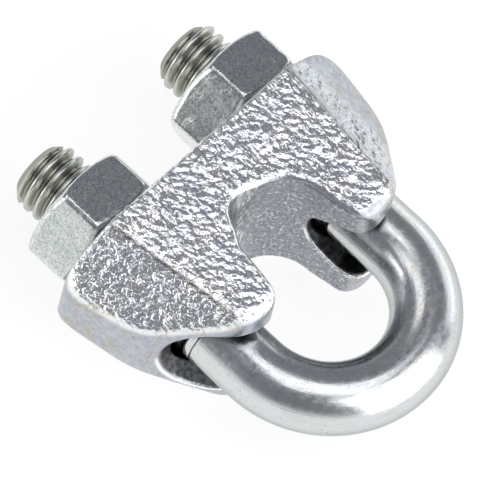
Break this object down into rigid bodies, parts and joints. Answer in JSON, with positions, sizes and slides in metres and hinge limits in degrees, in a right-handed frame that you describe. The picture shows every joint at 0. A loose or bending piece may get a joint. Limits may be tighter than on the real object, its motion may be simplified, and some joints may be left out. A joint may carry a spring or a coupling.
{
  "type": "wire rope clip",
  "caption": "Wire rope clip with a cast saddle, a threaded U-bolt and hexagon nuts that draw the bow up to clamp a rope in the saddle's groove.",
  "frame": {"origin": "centre of the rope seat: on the rope axis, midway between the two side faces", "axes": "+Z along the rope axis, up when the clip lies flat on a side face; +Y along the legs from the bow to the nuts; X from leg to leg"},
  "size_m": [0.03, 0.034, 0.0126],
  "materials": {
    "cast_zinc": "rough casting, bright zinc plated",
    "bar_zinc": "smooth bright zinc plated bar with rolled threads",
    "nut_zinc": "zinc plated, lightly scratched"
  },
  "bodies": {
    "saddle": {"saddle": "cast_zinc"},
    "u_bolt": {"u_bolt": "bar_zinc"},
    "nut_left": {"nut_left": "nut_zinc"},
    "nut_right": {"nut_right": "nut_zinc"}
  },
  "joints": [
    {"name": "nut_left_spin", "type": "hinge", "parent": "saddle", "child": "nut_left", "pos_m": [-0.00785, 0.0097, 0], "axis": [0, 1, 0], "range_deg": [-2160, 1260]},
    {"name": "nut_right_spin", "type": "hinge", "parent": "saddle", "child": "nut_right", "pos_m": [0.00785, 0.0097, 0], "axis": [0, 1, 0], "range_deg": [-2160, 1260]},
    {"name": "u_bolt_slide", "type": "slide", "parent": "saddle", "child": "u_bolt", "axis": [0, 1, 0], "range_m": [-0.0035, 0.006]}
  ],
  "couplings": [
    {"joint": "nut_left_spin", "follows": "u_bolt_slide", "rad_per_m": -6283.2},
    {"joint": "nut_right_spin", "follows": "u_bolt_slide", "rad_per_m": -6283.2}
  ]
}
